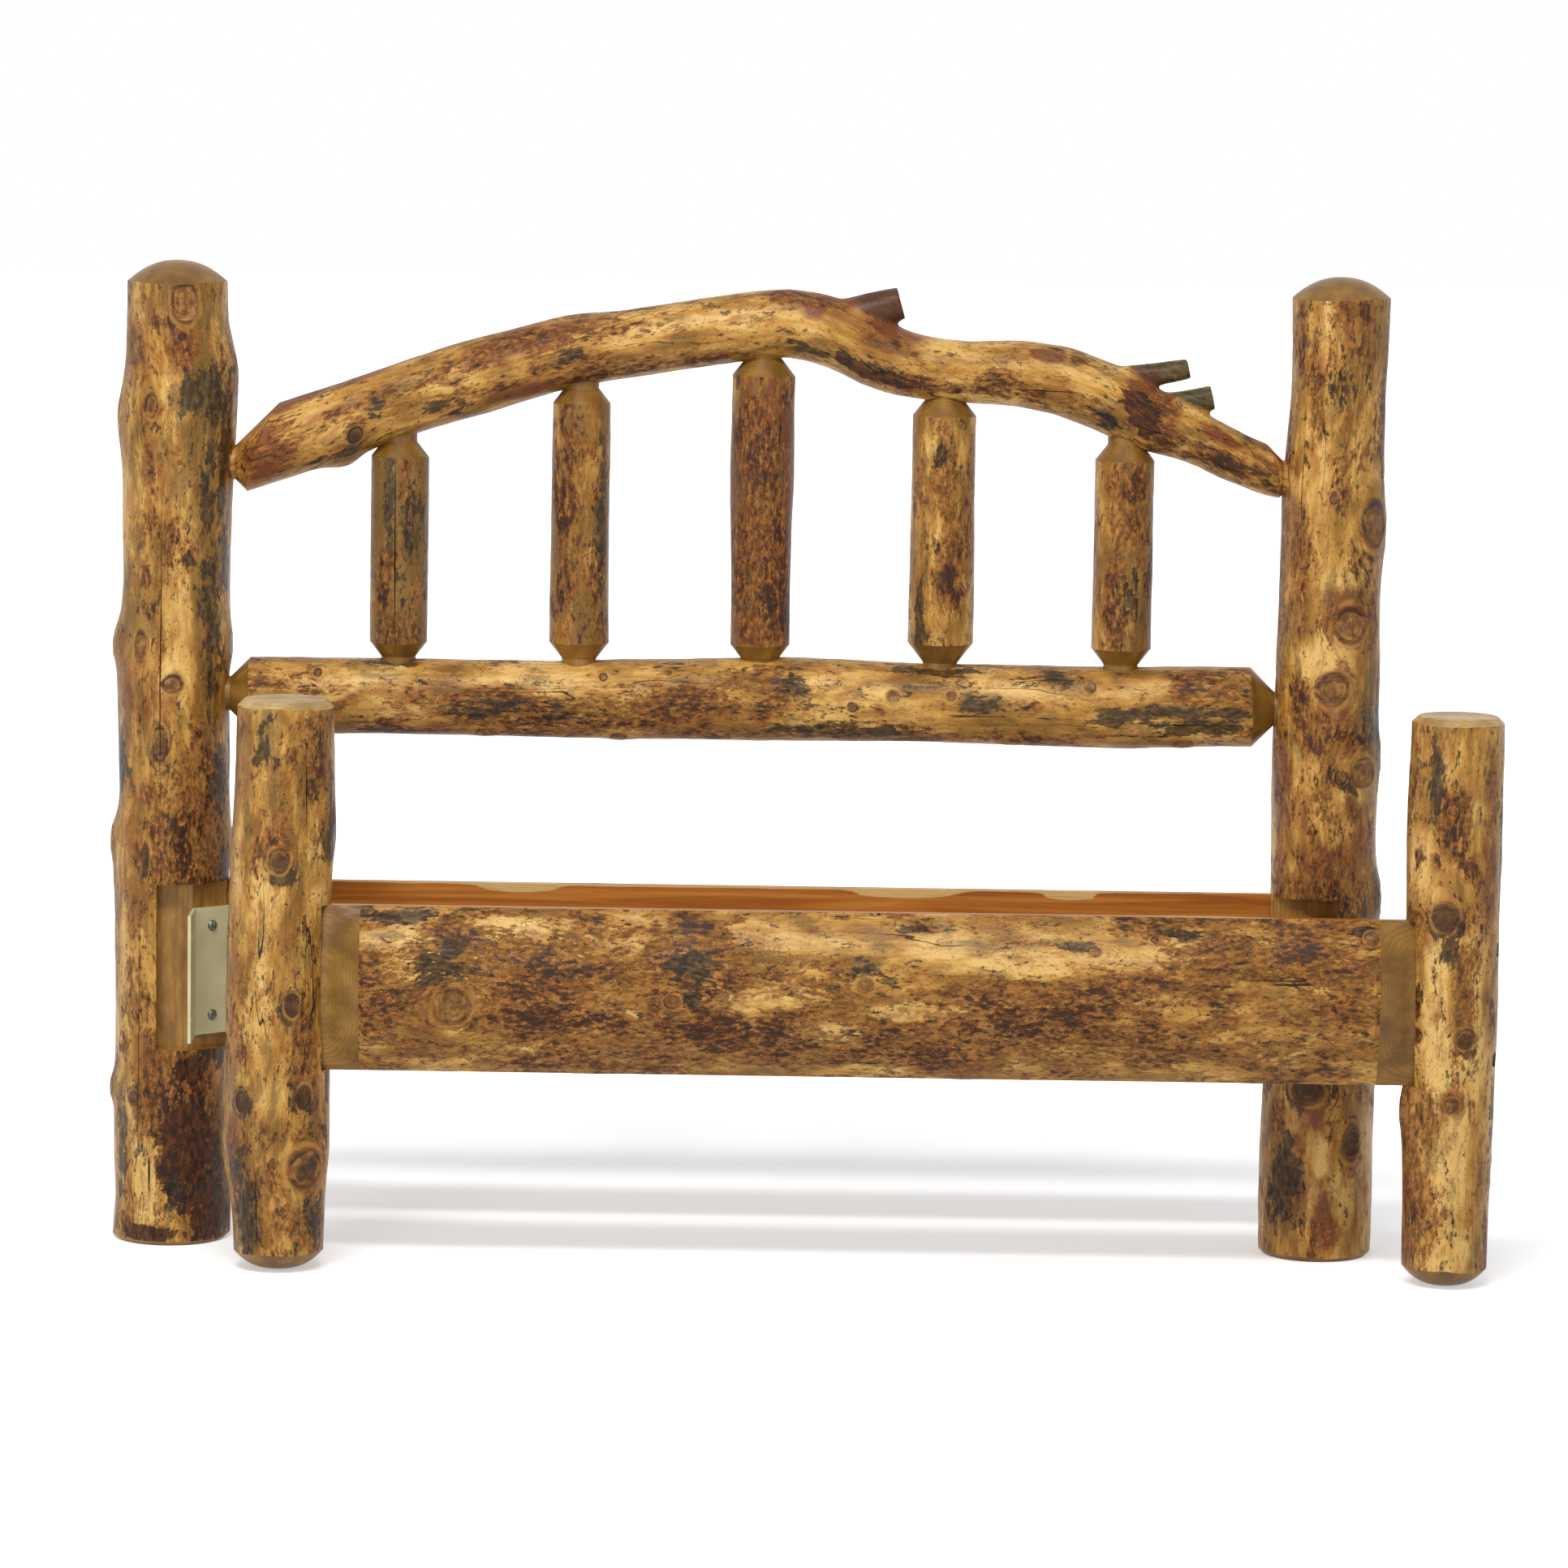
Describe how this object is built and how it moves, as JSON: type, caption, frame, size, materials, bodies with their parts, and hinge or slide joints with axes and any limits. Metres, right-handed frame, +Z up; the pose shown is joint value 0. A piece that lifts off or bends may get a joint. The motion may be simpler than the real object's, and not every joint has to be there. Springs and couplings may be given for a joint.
{
  "type": "log bed",
  "caption": "Rustic peeled-log bed, taken down: an arched headboard with turned-tenon spindles and a low half-log footboard standing in front of it, with side rail brackets.",
  "frame": {"origin": "on the floor under the middle of the bounding box of the two frames as they stand", "axes": "+Z up, +Y from the footboard to the headboard, +X to the right of someone who faces the bed from its foot end"},
  "size_m": [2.0279, 0.3845, 1.445],
  "materials": {
    "peeled_log": "clear satin varnish over peeled pine logs",
    "bracket_paint": "pale grey-green paint",
    "screw_steel": "zinc plated"
  },
  "bodies": {
    "headboard": {"headboard_left_post": "peeled_log", "headboard_right_post": "peeled_log", "crest_rail": "peeled_log", "mid_rail": "peeled_log", "spindle_1": "peeled_log", "spindle_2": "peeled_log", "spindle_3": "peeled_log", "spindle_4": "peeled_log", "spindle_5": "peeled_log", "headboard_lower_rail": "peeled_log", "headboard_left_rail_bracket": "bracket_paint", "headboard_right_rail_bracket": "bracket_paint", "headboard_bracket_bolts": "screw_steel", "headboard_lag_screws": "screw_steel"},
    "footboard": {"footboard_left_post": "peeled_log", "footboard_right_post": "peeled_log", "footboard_panel": "peeled_log", "footboard_left_rail_bracket": "bracket_paint", "footboard_right_rail_bracket": "bracket_paint", "footboard_bracket_bolts": "screw_steel", "footboard_lag_screws": "screw_steel"}
  },
  "joints": [
    {"name": "footboard_set_out", "type": "slide", "parent": "headboard", "child": "footboard", "axis": [0, -1, 0], "range_m": [0, 1.93]}
  ]
}
